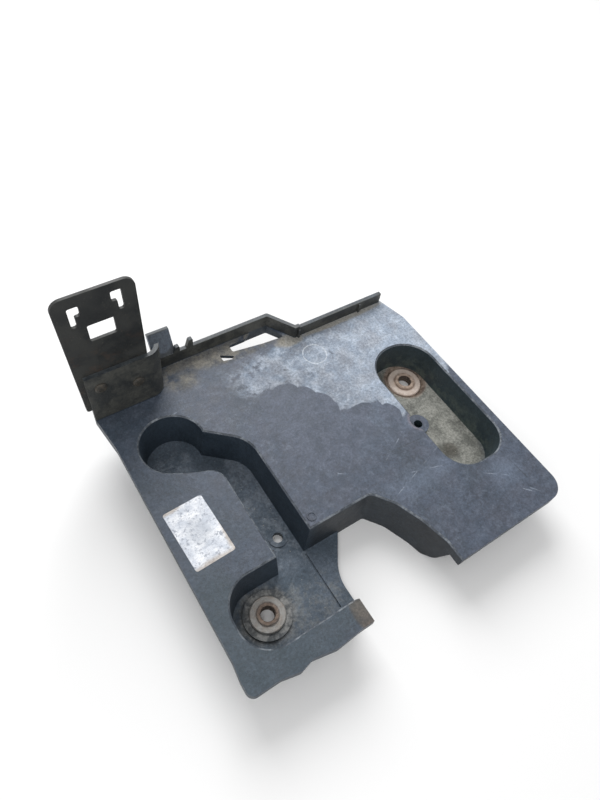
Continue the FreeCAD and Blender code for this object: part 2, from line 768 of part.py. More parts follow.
def make_rivet(name):
    """A dome-headed rivet with its axis on Z; the head's seat is at zero."""
    grip = wall + dim.bracket_thickness
    return turned_piece(name, [
        (0, -grip - dim.rivet_tail_height, 0),
        (dim.rivet_tail_radius, -grip - dim.rivet_tail_height, 0),
        (dim.rivet_tail_radius, -grip, 0),
        (dim.rivet_radius, -grip, 0),
        (dim.rivet_radius, 0, 0),
        (dim.rivet_head_radius, 0, 0),
        (dim.rivet_head_radius, dim.rivet_head_height * 0.35, 0),
        (dim.rivet_head_radius * 0.8, dim.rivet_head_height * 0.8, 0),
        (dim.rivet_head_radius * 0.5, dim.rivet_head_height, 0),
        (0, dim.rivet_head_height, 0),
    ])


def keyhole_corners(wide_left, wide_right, tail_left, tail_right, top):
    """A keyhole whose tail hangs from one side of its wide mouth."""
    mouth = top - dim.keyhole_height
    tail = mouth - dim.keyhole_tail_height
    curve = dim.keyhole_round
    left_tail = tail_left.number <= wide_left.number
    if left_tail:
        return [
            (wide_left, tail, curve),
            (tail_right, tail, curve),
            (tail_right, mouth, curve),
            (wide_right, mouth, curve),
            (wide_right, top, curve),
            (wide_left, top, curve),
        ]
    return [
        (wide_left, mouth, curve),
        (tail_left, mouth, curve),
        (tail_left, tail, curve),
        (wide_right, tail, curve),
        (wide_right, top, curve),
        (wide_left, top, curve),
    ]


def make_bracket():
    """The upright bracket, drawn flat about its left rivet: X across, Y up, Z through the sheet."""
    body = new_body("bracket")
    left = -dim.bracket_left_of_rivet
    right = left + dim.bracket_width
    foot = -dim.bracket_foot_below_rivet
    top = foot + dim.bracket_height
    sketch = outline(body, "bracket_outline", "XY_Plane", 0, [
        (left, foot, dim.bracket_foot_round),
        (right, foot, dim.bracket_foot_round),
        (right + dim.bracket_flare, top, dim.bracket_round),
        (left - dim.bracket_flare, top, dim.bracket_round),
    ])
    pad(body, "bracket_sheet", sketch, dim.bracket_thickness)
    window_left = left + dim.bracket_window_inset
    window_top = top - dim.bracket_window_top
    sketch = outline(body, "bracket_window_outline", "XY_Plane", dim.bracket_thickness, [
        (window_left, window_top - dim.bracket_window_height, 1),
        (window_left + dim.bracket_window_width, window_top - dim.bracket_window_height, 1),
        (window_left + dim.bracket_window_width, window_top, 1),
        (window_left, window_top, 1),
    ])
    pocket(body, "bracket_window", sketch, dim.bracket_thickness)
    mouth_left = left + dim.keyhole_inset
    sketch = outline(body, "left_keyhole_outline", "XY_Plane", dim.bracket_thickness, keyhole_corners(
        mouth_left, mouth_left + dim.keyhole_width, mouth_left, mouth_left + dim.keyhole_tail_width,
        top - dim.left_keyhole_top))
    pocket(body, "left_keyhole", sketch, dim.bracket_thickness)
    mouth_right = right - dim.keyhole_inset
    sketch = outline(body, "right_keyhole_outline", "XY_Plane", dim.bracket_thickness, keyhole_corners(
        mouth_right - dim.keyhole_width, mouth_right, mouth_right - dim.keyhole_tail_width, mouth_right,
        top - dim.right_keyhole_top))
    pocket(body, "right_keyhole", sketch, dim.bracket_thickness)
    # The right rivet's place on the leaning sheet, turned back by the lean
    across = dim.right_rivet_across - dim.left_rivet_across
    up = dim.right_rivet_up - dim.left_rivet_up
    turned_across = across * cosine(dim.bracket_lean) + up * sine(dim.bracket_lean)
    turned_up = up * cosine(dim.bracket_lean) - across * sine(dim.bracket_lean)
    for name, x, y in (("left", as_size(0), as_size(0)), ("right", turned_across, turned_up)):
        hole = body.newObject("PartDesign::SubtractiveCylinder", f"bracket_{name}_rivet_hole")
        bind(hole, Placement__Base__x=x, Placement__Base__y=y)
        bind(hole, Radius=dim.rivet_radius + dim.fit_gap, Height=dim.bracket_thickness)
    return body


def make_label():
    body = new_body("label")
    sketch = outline(body, "label_outline", "XY_Plane", 0, label_corners(as_size(0)))
    pad(body, "label_sheet", sketch, dim.label_thickness)
    return body


def place(body, x, y, z, turn=None):
    """Sets a piece in the tray's frame, whose origin is under the front bolt's axis."""
    body.Placement = Placement(Vector(), turn or Rotation())
    bind(body, Placement__Base__x=as_size(x) - dim.front_bolt_across)
    bind(body, Placement__Base__y=as_size(y) - front_bolt_y, Placement__Base__z=z)
    return body


seat_front = wall + dim.front_seat_height
to_front = Rotation(Vector(1, 0, 0), 90)
lean = Rotation(Vector(0, 1, 0), -dim.bracket_lean.number)

pieces = [
    place(make_tray(), 0, 0, 0),
    place(make_bush("front_bush", seat_front, dim.front_sleeve_radius, dim.front_bore_radius,
                    dim.front_washer_radius, dim.front_washer_thickness, dim.front_collar_height),
          dim.front_bolt_across, front_bolt_y, 0),
    place(make_bush("rear_bush", wall, dim.rear_sleeve_radius, dim.rear_bore_radius,
                    dim.rear_washer_radius, dim.rear_washer_thickness, dim.rear_collar_height),
          rear_bolt_x, -dim.rear_bolt_back, 0),
    place(make_bracket(), dim.left_rivet_across, dim.rear_line + dim.bracket_thickness,
          deck_top + dim.left_rivet_up, lean * to_front),
    place(make_label(), dim.label_across, -dim.label_back, deck_top - dim.label_thickness,
          Rotation(Vector(0, 0, 1), dim.label_turn.number)),
]
for side in ("left", "right"):
    pieces.append(place(make_rivet(f"{side}_rivet"), rivet_across[side], rear_wall_face,
                        deck_top + rivet_level[side], to_front))

doc.recompute()

faults = [item.Name for item in doc.Objects if "Invalid" in item.State or "Error" in item.State]
if faults:
    raise RuntimeError(f"objects that failed: {faults}")
os.makedirs("parts", exist_ok=True)
for piece in pieces:
    if piece.Shape.isNull() or not piece.Shape.isValid():
        raise RuntimeError(f"{piece.Label} has no valid shape")
for piece in pieces:
    piece.Shape.exportStep(f"parts/{piece.Label}.step")
    box = piece.Shape.BoundBox
    print(piece.Label, len(piece.Shape.Solids), "solid", round(piece.Shape.Volume), "mm3",
          [round(v, 2) for v in (box.XMin, box.XMax, box.YMin, box.YMax, box.ZMin, box.ZMax)])
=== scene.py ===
# %% [markdown]
# The battery tray is a dark moulded plate with two steel bushes, a steel bracket and a blank label.
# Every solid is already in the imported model, so this script loads it and gives each piece its finish.
# Sizes are in metres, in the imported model's own frame, whose origin is under the front bush.

import bpy
from mathutils import Matrix, Vector


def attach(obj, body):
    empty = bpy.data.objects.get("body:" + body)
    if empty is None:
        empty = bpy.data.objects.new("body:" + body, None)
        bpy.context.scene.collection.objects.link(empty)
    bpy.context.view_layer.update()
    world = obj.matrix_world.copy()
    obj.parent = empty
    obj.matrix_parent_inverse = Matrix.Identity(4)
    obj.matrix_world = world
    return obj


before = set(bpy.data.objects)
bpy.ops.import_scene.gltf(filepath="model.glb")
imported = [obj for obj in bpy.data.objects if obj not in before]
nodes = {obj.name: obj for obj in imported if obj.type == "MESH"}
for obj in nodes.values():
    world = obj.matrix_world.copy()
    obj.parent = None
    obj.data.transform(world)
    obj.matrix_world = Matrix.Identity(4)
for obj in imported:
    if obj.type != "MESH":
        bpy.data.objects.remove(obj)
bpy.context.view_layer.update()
MM = 0.001
print("nodes:", sorted(nodes))

# %% [markdown]
# Stains, scuffs and holes are easiest to place in the tray's drawing datum: X from the deck's left edge,
# Y back from its rear line and Z from the resting plane, all in millimetres. One helper turns such a
# point into the model's frame, so that every later number can be read off the real tray. The bolts, the
# sunk screw boss and the levels of deck and floors are named once, because many stains lie round them.

# %% Points in the drawing datum
FRONT_BOLT = Vector((34.5, -158.5, 0))
REAR_BOLT = Vector((224.5, -59, 0))
SCREW_BOSS = Vector((194.5, -104, 0))
DECK_TOP = 32
RECESS_FLOOR = 7
BASIN_FLOOR = 3


def at(x, y, z=DECK_TOP):
    """A point of the tray, given in millimetres in the drawing datum."""
    return (Vector((x, y, z)) - FRONT_BOLT) * MM


print("deck corner:", at(0, 0))

# %% [markdown]
# Colours are written as a person reads them off a screen, from 0 to 255, and turned into the linear
# values that the shader wants. Writing them this way keeps each finish easy to compare with the object.

# %% Colours


def tone(red, green, blue):
    """A screen colour as a linear colour with full alpha."""
    def linear(value):
        value /= 255
        return value / 12.92 if value <= 0.04045 else ((value + 0.055) / 1.055) ** 2.4
    return (linear(red), linear(green), linear(blue), 1.0)


print("a dark plastic:", [round(v, 3) for v in tone(84, 92, 102)])

# %% [markdown]
# A material is a graph of nodes. The small class below adds nodes and links them in one call, and it
# works the same for a material and for a shared node group, so that each finish stays short to read.

# %% Node graph helper


class Graph:
    """Adds nodes to a tree. An input may be a value, or another node's output."""

    def __init__(self, tree):
        self.tree = tree

    def add(self, kind, inputs=None, **settings):
        node = self.tree.nodes.new(kind)
        for name, value in settings.items():
            setattr(node, name, value)
        for name, value in (inputs or {}).items():
            self.feed(node.inputs[name], value)
        return node

    def feed(self, socket, value):
        if isinstance(value, bpy.types.NodeSocket):
            self.tree.links.new(value, socket)
        else:
            socket.default_value = value

    def math(self, operation, first, second=0.0, clamp=False):
        node = self.add("ShaderNodeMath", {0: first, 1: second}, operation=operation, use_clamp=clamp)
        return node.outputs[0]

    def times(self, first, second):
        return self.math("MULTIPLY", first, second)

    def plus(self, first, second):
        return self.math("ADD", first, second)

    def minus(self, first, second):
        return self.math("SUBTRACT", first, second)

    def larger(self, first, second):
        return self.math("MAXIMUM", first, second)

    def vector(self, operation, first, second=(0, 0, 0)):
        node = self.add("ShaderNodeVectorMath", {0: first, 1: second}, operation=operation)
        return node.outputs["Value" if operation in ("LENGTH", "DOT_PRODUCT") else "Vector"]

    def blend(self, factor, below, above, mode="MIX"):
        node = self.add("ShaderNodeMix", {0: factor, 6: below, 7: above}, data_type="RGBA", blend_type=mode)
        return node.outputs[2]

    def ramp(self, value, low, high, start=0.0, end=1.0):
        node = self.add("ShaderNodeMapRange", {"Value": value, "From Min": low, "From Max": high,
                                               "To Min": start, "To Max": end})
        node.interpolation_type = "SMOOTHSTEP"
        return node.outputs["Result"]

    def noise(self, where, scale, detail=3.0, roughness=0.5):
        node = self.add("ShaderNodeTexNoise", {"Vector": where, "Scale": scale, "Detail": detail,
                                               "Roughness": roughness})
        return node.outputs["Fac"]

    def clumps(self, where, scale, low, high, detail=3.0, roughness=0.5):
        """Noise cut to a mask, which is 0 below the low value and 1 above the high one."""
        return self.ramp(self.noise(where, scale, detail, roughness), low, high)


def new_group(name, inputs, outputs):
    """A shared node group with named float, vector or colour sockets."""
    tree = bpy.data.node_groups.new(name, "ShaderNodeTree")
    for side, sockets in (("INPUT", inputs), ("OUTPUT", outputs)):
        for socket_name, kind, value in sockets:
            socket = tree.interface.new_socket(socket_name, in_out=side, socket_type=f"NodeSocket{kind}")
            if value is not None:
                socket.default_value = value
    graph = Graph(tree)
    return graph, graph.add("NodeGroupInput").outputs, graph.add("NodeGroupOutput")


print("graph helper ready")

# %% [markdown]
# A puddle that dries on plastic leaves a patch with a sharp, wavy edge. The group below makes one such
# patch: an ellipse round a centre, whose outline is pushed about by noise. Several patches with their
# own centres and sizes, joined by taking the larger value, give a tide mark of any shape.

# %% Shared group: patch
graph, given, result = new_group(
    "Patch",
    [("Point", "Vector", None), ("Centre", "Vector", None), ("Half size", "Vector", (0.02, 0.02, 0.02)),
     ("Wobble", "Float", 0.12), ("Wave", "Float", 90.0), ("Edge", "Float", 0.06)],
    [("Mask", "Float", None), ("Rim", "Float", None)],
)
offset = graph.vector("SUBTRACT", given["Point"], given["Centre"])
reach = graph.vector("LENGTH", graph.vector("DIVIDE", offset, given["Half size"]))
wave = graph.noise(given["Point"], given["Wave"], 5.0, 0.6)
push = graph.times(graph.minus(wave, 0.5), given["Wobble"])
reach = graph.plus(reach, graph.times(push, 4.0))
inner = graph.minus(1.0, given["Edge"])
outer = graph.plus(1.0, given["Edge"])
mask = graph.ramp(reach, inner, outer, 1.0, 0.0)
far = graph.math("ABSOLUTE", graph.minus(reach, 1.0))
rim = graph.ramp(far, 0.0, graph.times(given["Edge"], 1.5), 1.0, 0.0)
graph.feed(result.inputs["Mask"], mask)
graph.feed(result.inputs["Rim"], rim)
PATCH = graph.tree
print("patch group nodes:", len(PATCH.nodes))

# %% [markdown]
# Old outdoor plastic and steel share one thing: fine dust and grime that lies in spots. This group gives
# a mask of soft clouds and a mask of small specks, each with its own size, and a fine even grain for the
# relief, for any material to use.

# %% Shared group: grime
graph, given, result = new_group(
    "Grime",
    [("Point", "Vector", None), ("Cloud scale", "Float", 40.0), ("Speck scale", "Float", 600.0),
     ("Speck cover", "Float", 0.3)],
    [("Clouds", "Float", None), ("Specks", "Float", None), ("Grain", "Float", None)],
)
clouds = graph.noise(given["Point"], given["Cloud scale"], 6.0, 0.62)
graph.feed(result.inputs["Clouds"], graph.ramp(clouds, 0.36, 0.66))
specks = graph.noise(given["Point"], given["Speck scale"], 2.0, 0.6)
threshold = graph.minus(0.78, graph.times(given["Speck cover"], 0.4))
graph.feed(result.inputs["Specks"], graph.ramp(specks, threshold, graph.plus(threshold, 0.05)))
graph.feed(result.inputs["Grain"], graph.noise(given["Point"], 1800.0, 2.0, 0.5))
GRIME = graph.tree
print("grime group nodes:", len(GRIME.nodes))

# %% [markdown]
# A scratch or a crack is a thin line between two points. This group measures how far a place on the
# deck is from that line, and breaks the line up with noise, so that it fades in and out as a real one does.

# %% Shared group: stroke
graph, given, result = new_group(
    "Stroke",
    [("Point", "Vector", None), ("Start", "Vector", None), ("Run", "Vector", None),
     ("Width", "Float", 0.4 * MM)],
    [("Mask", "Float", None)],
)
waver = graph.noise(given["Point"], 260.0, 2.0)
offset = graph.vector("SUBTRACT", given["Point"], given["Start"])
share = graph.math("DIVIDE", graph.vector("DOT_PRODUCT", offset, given["Run"]),
                   graph.vector("DOT_PRODUCT", given["Run"], given["Run"]), clamp=True)
scaled = graph.add("ShaderNodeVectorMath", {0: given["Run"], "Scale": share}, operation="SCALE")
nearest = scaled.outputs["Vector"]
away = graph.vector("LENGTH", graph.vector("SUBTRACT", offset, nearest))
away = graph.plus(away, graph.times(graph.minus(waver, 0.5), 0.7 * MM))
core = graph.times(given["Width"], 0.4)
line = graph.ramp(graph.math("ABSOLUTE", away), core, given["Width"], 1.0, 0.0)
broken = graph.clumps(given["Point"], 130.0, 0.40, 0.66, detail=4.0)
graph.feed(result.inputs["Mask"], graph.times(line, broken))
STROKE = graph.tree
print("stroke group nodes:", len(STROKE.nodes))

# %% [markdown]
# Each material starts the same way: an empty graph, one Principled shader and the Object coordinates
# that patterns are drawn on. The helpers under it place the shared groups in millimetres of the drawing
# datum, so that a stain is one short line.

# %% Material starter


def new_material(name, roughness, metallic=0.0):
    """An empty material: returns it with its graph, its shader and its Object coordinates."""
    material = bpy.data.materials.new(name)
    material.use_nodes = True
    material.node_tree.nodes.clear()
    graph = Graph(material.node_tree)
    shader = graph.add("ShaderNodeBsdfPrincipled", {"Roughness": roughness, "Metallic": metallic})
    graph.add("ShaderNodeOutputMaterial", {"Surface": shader.outputs[0]})
    point = graph.add("ShaderNodeTexCoord").outputs["Object"]
    return material, graph, shader, point


def patch(graph, point, x, y, half_x, half_y, wobble=0.12, wave=90.0, edge=0.06, z=DECK_TOP, half_z=12):
    """A patch on the tray, centred in the drawing datum, with half sizes in millimetres."""
    node = graph.add("ShaderNodeGroup", node_tree=PATCH)
    graph.feed(node.inputs["Point"], point)
    graph.feed(node.inputs["Centre"], at(x, y, z))
    graph.feed(node.inputs["Half size"], (half_x * MM, half_y * MM, half_z * MM))
    graph.feed(node.inputs["Wobble"], wobble)
    graph.feed(node.inputs["Wave"], wave)
    graph.feed(node.inputs["Edge"], edge)
    return node.outputs


def patches(graph, point, places, **settings):
    """Several patches joined into one mask, from a list of (x, y, half_x, half_y)."""
    whole = None
    for place in places:
        mask = patch(graph, point, *place, **settings)["Mask"]
        whole = mask if whole is None else graph.larger(whole, mask)
    return whole


def strokes(graph, point, lines):
    """Several scratches joined into one mask, from a list of (x0, y0, x1, y1, width) in millimetres."""
    whole = None
    for x0, y0, x1, y1, width in lines:
        node = graph.add("ShaderNodeGroup", node_tree=STROKE)
        graph.feed(node.inputs["Point"], point)
        graph.feed(node.inputs["Start"], at(x0, y0))
        graph.feed(node.inputs["Run"], at(x1, y1) - at(x0, y0))
        graph.feed(node.inputs["Width"], width * MM)
        mask = node.outputs["Mask"]
        whole = mask if whole is None else graph.larger(whole, mask)
    return whole


def grime(graph, point, cloud_scale, speck_scale, cover):
    """The masks of clouds, specks and grain, for one material."""
    node = graph.add("ShaderNodeGroup", node_tree=GRIME)
    graph.feed(node.inputs["Point"], point)
    graph.feed(node.inputs["Cloud scale"], cloud_scale)
    graph.feed(node.inputs["Speck scale"], speck_scale)
    graph.feed(node.inputs["Speck cover"], cover)
    return node.outputs


print("starter ready")

# %% [markdown]
# The moulding is dark polypropylene that has weathered to a blue grey where it lies open to the sky.
# Upright faces are painted nearly black, as painted shade. The masks below say where a place lies:
# on the deck's top, on a pocket's floor, on an upright face, or on the small bevel round a pocket.

# %% Tray plastic: where a place lies
tray_material, g, shader, point = new_material("tray_plastic", 0.5)
dirt = grime(g, point, cloud_scale=34.0, speck_scale=420.0, cover=0.35)
fine = grime(g, point, cloud_scale=170.0, speck_scale=1500.0, cover=0.2)
place = g.add("ShaderNodeSeparateXYZ", {0: point}).outputs
normal = g.add("ShaderNodeNewGeometry").outputs["Normal"]
facing = g.add("ShaderNodeSeparateXYZ", {0: normal}).outputs["Z"]


def both(*masks):
    """The overlap of several masks."""
    whole = masks[0]
    for mask in masks[1:]:
        whole = g.times(whole, mask)
    return whole


def lay(mask, colour, strength=1.0):
    """Lays a colour over the base, through a mask."""
    global base
    base = g.blend(g.times(mask, strength), base, colour)


flat_up = g.ramp(facing, 0.80, 0.97)
on_deck = both(flat_up, g.ramp(place["Z"], (DECK_TOP - 1.5) * MM, (DECK_TOP - 0.4) * MM))
on_floor = both(flat_up, g.ramp(place["Z"], 12 * MM, 8 * MM))
upright = g.ramp(g.math("ABSOLUTE", facing), 0.62, 0.3)
near_top = g.ramp(place["Z"], (DECK_TOP - 2.2) * MM, (DECK_TOP - 1.6) * MM)
rim_highlight = both(g.ramp(facing, 0.5, 0.62), g.ramp(facing, 0.9, 0.8), near_top)
print("place masks ready")

# %% [markdown]
# The bare plastic comes first: soft clouds of two greys, finer mottling both paler and darker, and a
# scatter of pale grains. The left part of the deck is a little greener.

# %% Tray plastic: bare plastic
base = g.blend(dirt["Clouds"], tone(48, 58, 72), tone(62, 72, 88))
lay(fine["Clouds"], tone(82, 91, 107), 0.4)
warm = grime(g, point, cloud_scale=75.0, speck_scale=900.0, cover=0.15)
lay(warm["Clouds"], tone(74, 74, 84), 0.3)
lay(g.clumps(point, 26.0, 0.5, 0.62, detail=8.0, roughness=0.68), tone(44, 55, 65), 0.45)
mottle = g.noise(point, 210.0, detail=7.0, roughness=0.74)
lay(g.ramp(mottle, 0.5, 0.64), tone(96, 105, 120), 0.4)
lay(g.ramp(mottle, 0.48, 0.36), tone(36, 45, 56), 0.4)
left_side = g.ramp(place["X"], 45 * MM, -20 * MM)
lay(left_side, tone(50, 62, 72), 0.35)
lay(both(warm["Specks"], on_deck), tone(138, 142, 150), 0.45)
print("nodes so far:", len(g.tree.nodes))

# %% [markdown]
# A puddle dried on the deck's rear right and left it chalky. Its lower edge is scalloped by darker
# patches that stayed wet longest, and its left edge frays out. Chalk is brightest in small clots, and
# towards the right it is painted brighter and bluer, as a painted sky reflection.

# %% Tray plastic: dried puddle
chalk = patches(g, point, [
    (200, -18, 58, 62), (152, -20, 38, 24), (168, -50, 34, 24), (226, -52, 24, 40), (186, -70, 9, 26),
], wobble=0.13, wave=75.0, edge=0.07)
clots = g.clumps(point, 95.0, 0.44, 0.62, detail=8.0, roughness=0.68)
feather = patches(g, point, [(126, -14, 30, 17), (112, -24, 18, 6), (146, -36, 26, 12)],
                  wobble=0.22, wave=130.0, edge=0.5)
ragged = g.clumps(point, 120.0, 0.40, 0.56, detail=8.0, roughness=0.7)
chalk = g.larger(chalk, both(feather, ragged))
haze = patches(g, point, [
    (170, -104, 26, 12), (168, -78, 20, 16), (165, -140, 24, 10), (205, -168, 30, 12),
], wobble=0.12, wave=60.0, edge=0.35)
wet = patches(g, point, [
    (110, -40, 10, 11), (121, -39, 11, 10), (130, -49, 11, 12), (137, -62, 12, 15), (118, -62, 20, 26),
    (126, -88, 24, 18), (160, -76, 11, 5), (178, -90, 8, 10), (150, -88, 12, 10),
], wobble=0.08, wave=150.0, edge=0.05)
dry = g.minus(1.0, wet)
chalk_here = both(chalk, on_deck, dry)
lay(both(haze, on_deck, dirt["Clouds"]), tone(98, 110, 128), 0.5)
lay(chalk_here, g.blend(dirt["Clouds"], tone(104, 116, 131), tone(140, 152, 168)), 0.88)
# Painted reflection: towards the right the chalk is painted brighter and bluer, as the sky's sheen falls
# there.
lay(both(chalk_here, g.ramp(place["X"], 90 * MM, 190 * MM)), tone(166, 178, 194), 0.55)
lay(both(chalk_here, clots), tone(180, 190, 203), 0.6)
lay(both(chalk_here, warm["Clouds"]), tone(126, 122, 122), 0.35)
lay(both(wet, on_deck), g.blend(fine["Clouds"], tone(56, 65, 80), tone(82, 89, 104)), 0.74)
print("nodes so far:", len(g.tree.nodes))

# %% [markdown]
# Tan dirt lies at the foot of the rear shelf, and beige dust along the low flange. The front left strip
# is greener and ends in brown dirt, and mud dried to a mauve ring round the sunk screw boss.

# %% Tray plastic: dirt on the deck
shelf_dirt = patches(g, point, [(84, 19, 36, 8), (112, 11, 30, 5), (62, 12, 13, 13), (98, 23, 44, 4)],
                     wobble=0.16, wave=110.0, edge=0.35)
thick_dirt = g.clumps(point, 60.0, 0.34, 0.56, detail=6.0, roughness=0.6)
lay(both(shelf_dirt, on_deck, thick_dirt), tone(110, 108, 101), 0.65)
lay(both(shelf_dirt, on_deck, clots), tone(142, 137, 126), 0.5)
foot_dust = patches(g, point, [(200, 3, 42, 3.5), (152, 4, 12, 6)], wobble=0.14, wave=160.0, edge=0.3)
lay(both(foot_dust, on_deck), tone(150, 144, 130), 0.7)
strip_end = patches(g, point, [(77, -192, 6, 12)], wobble=0.1, wave=200.0, edge=0.2, half_z=60)
lay(strip_end, g.blend(fine["Clouds"], tone(72, 62, 54), tone(104, 92, 80)), 0.85)
front_strip = patches(g, point, [(30, -186, 60, 16), (10, -160, 14, 40)], wobble=0.1, edge=0.4)
lay(both(front_strip, on_deck), tone(48, 62, 66), 0.45)
ring = patch(g, point, SCREW_BOSS.x, SCREW_BOSS.y, 9.5, 9.5, wobble=0.04, edge=0.12)["Mask"]
lay(both(ring, on_deck), tone(112, 104, 112), 0.6)
round_front_bolt = patch(g, point, FRONT_BOLT.x, FRONT_BOLT.y, 60, 60, edge=0.5)["Mask"]
lay(both(round_front_bolt, on_deck, fine["Specks"]), tone(112, 106, 98), 0.3)
print("nodes so far:", len(g.tree.nodes))

# %% [markdown]
# Scratches are short and pale, cracks are dark. The round scratch near the rear edge is a thin ring,
# where something round was once pressed down and turned.

# %% Tray plastic: scratches
scratches = strokes(g, point, [
    (218, -2, 220, -46, 0.5), (228, -4, 229, -44, 0.45), (160, -134, 184, -141, 0.5),
    (221, -183, 225, -187, 0.7), (226, -185, 230, -190, 0.7), (117, -110, 120, -112, 0.7),
    (190, -56, 190, -70, 0.6), (42, -16, 46, -15, 0.8), (152, -118, 170, -109, 0.5),
    (205, -160, 222, -172, 0.45), (132, -146, 190, -128, 0.5),
])
cracks = strokes(g, point, [
    (-3, -40, 8, -42, 1.0), (228, -148, 230, -178, 0.7), (152, -114, 188, -117, 0.45),
    (132, -19, 136, -22, 1.2), (172, -20, 173, -23, 1.1), (230, -110, 229, -146, 0.45),
    (156, -104, 172, -98, 0.4),
])
turned = patch(g, point, 160.6, -17, 9.2, 9.2, wobble=0.012, wave=200.0, edge=0.055)["Rim"]
lay(both(scratches, on_deck), tone(150, 160, 174), 0.42)
worn_ring = both(turned, on_deck, g.clumps(point, 420.0, 0.36, 0.5))
lay(worn_ring, tone(196, 202, 208), 0.75)
lay(both(cracks, on_deck), tone(34, 38, 44), 0.6)
print("nodes so far:", len(g.tree.nodes))

# %% [markdown]
# Inside the pockets the plastic is dark. Lime left pale blotches and grains on the floors, most of all in
# the channel, while the round pot is cleaner. Khaki silt covers the long recess's floor.

# %% Tray plastic: pocket floors
blotch = g.clumps(point, 150.0, 0.42, 0.62, detail=7.0, roughness=0.7)
lay(on_floor, g.blend(dirt["Clouds"], tone(64, 76, 87), tone(88, 99, 111)), 0.85)
channel_lime = patches(g, point, [
    (66, -90, 13, 44), (48, -62, 22, 10), (66, -130, 14, 14), (33, -36, 14, 10),
], z=BASIN_FLOOR, edge=0.3)
lay(both(channel_lime, on_floor, blotch), tone(122, 130, 140), 0.5)
pocket_lime = patches(g, point, [(FRONT_BOLT.x, FRONT_BOLT.y, 21, 20), (58, -166, 30, 16)],
                      wobble=0.16, z=BASIN_FLOOR, edge=0.3)
lay(both(pocket_lime, on_floor, blotch), tone(112, 116, 118), 0.7)
lay(both(on_floor, fine["Specks"]), tone(176, 178, 174), 0.8)
rusty = patch(g, point, FRONT_BOLT.x, FRONT_BOLT.y, 17, 17,
              wobble=0.12, wave=220.0, z=BASIN_FLOOR, edge=0.2)["Mask"]
lay(both(rusty, on_floor), g.blend(blotch, tone(78, 78, 76), tone(146, 145, 142)), 0.75)
silt = patches(g, point, [(217, -95, 30, 64)], z=RECESS_FLOOR, half_z=16, edge=0.2)
silt_clouds = g.clumps(point, 70.0, 0.36, 0.62, detail=6.0, roughness=0.62)
lay(both(silt, on_floor), g.blend(silt_clouds, tone(100, 101, 95), tone(144, 144, 137)), 0.95)
dark_spot = patch(g, point, 214, -127, 6, 6,
                  wobble=0.2, wave=160.0, z=RECESS_FLOOR, edge=0.4)["Mask"]
lay(both(dark_spot, on_floor), tone(70, 66, 58), 0.7)
dish = patch(g, point, REAR_BOLT.x, REAR_BOLT.y, 17.5, 17.5,
             wobble=0.03, z=4, edge=0.1, half_z=50)["Mask"]
in_dish = both(dish, g.ramp(place["Z"], 8.2 * MM, 7.4 * MM))
lay(in_dish, g.blend(blotch, tone(112, 96, 84), tone(166, 150, 136)), 0.9)
print("nodes so far:", len(g.tree.nodes))

# %% [markdown]
# Upright faces come last, because they cover whatever reaches them from above. Their dark tone is
# painted shade: pocket walls are painted almost black with a little lime, and the cut-out's wall gets the
# darkest painted shade. The tall wall and the flanges get painted shade mixed with brown dust, and have
# dusty tops. The cable tab at the back stands in the open and has greyed like the deck, so it gets no
# painted shade. The recess has green walls with silt streaks, and the bevels round the pockets get a
# painted highlight, with pale lime in clots.
#
# A last multiply by fine noise gives the whole moulding its speckle.

# %% Tray plastic: upright faces and rims
# Painted shade: this dark tone on upright faces stands in for the shade on them, mixed with real dust above
# the deck.
wall_shade_and_dust = g.blend(dirt["Clouds"], tone(33, 44, 54), tone(47, 58, 69))
above_deck = g.ramp(place["Z"], (DECK_TOP + 0.2) * MM, (DECK_TOP + 1.2) * MM)
dust = g.clumps(point, 90.0, 0.38, 0.66, detail=6.0, roughness=0.65)
wall_shade_and_dust = g.blend(above_deck, wall_shade_and_dust, g.blend(dust, tone(38, 40, 39), tone(70, 70, 65)))
tab = patch(g, point, 58.5, 32, 9, 14, wobble=0.0, z=56, half_z=12, edge=0.1)["Mask"]
wall_shade_and_dust = g.blend(tab, wall_shade_and_dust, g.blend(dirt["Clouds"], tone(98, 110, 125), tone(128, 140, 156)))
# The cut-out's wall gets the darkest painted shade.
cutout_shade = patch(g, point, 116, -172, 52, 50, z=16, half_z=90, wobble=0.0, edge=0.05)["Mask"]
wall_shade_and_dust = g.blend(cutout_shade, wall_shade_and_dust, g.blend(dirt["Clouds"], tone(16, 22, 28), tone(30, 38, 45)))
lay(upright, wall_shade_and_dust, 0.96)
wall_top = both(g.ramp(facing, 0.3, 0.6), above_deck)
lay(wall_top, g.blend(fine["Clouds"], tone(44, 48, 50), tone(70, 74, 74)), 0.8)
lay(both(upright, fine["Specks"]), tone(120, 122, 116), 0.35)
recess_wall = patch(g, point, 218, -95, 34, 66, z=18, half_z=90, edge=0.05)["Mask"]
streaks = g.clumps(point, 110.0, 0.4, 0.6, detail=6.0, roughness=0.7)
silty = both(g.ramp(place["Z"], 30 * MM, 8 * MM), streaks)
lay(both(upright, recess_wall), tone(38, 54, 56), 0.5)
lay(both(upright, recess_wall, silty), tone(82, 92, 86), 0.6)
# Painted highlight: the bevels round the pockets are painted pale, with pale lime in the clots.
lay(rim_highlight, g.blend(clots, tone(64, 70, 76), tone(138, 144, 150)), 0.7)
grain = g.ramp(g.noise(point, 560.0, detail=6.0, roughness=0.8), 0.3, 0.7, start=0.64, end=1.36)
shade = g.add("ShaderNodeCombineColor", {"Red": grain, "Green": grain, "Blue": grain}).outputs["Color"]
g.feed(shader.inputs["Base Color"], g.blend(1.0, base, shade, "MULTIPLY"))
print("tray colour nodes:", len(g.tree.nodes))

# %% [markdown]
# Chalk and dust are dull, and the dark pocket walls keep some of the moulding's own sheen. The surface has
# the fine grain of a spark-eroded mould, with soft dents on a larger scale.

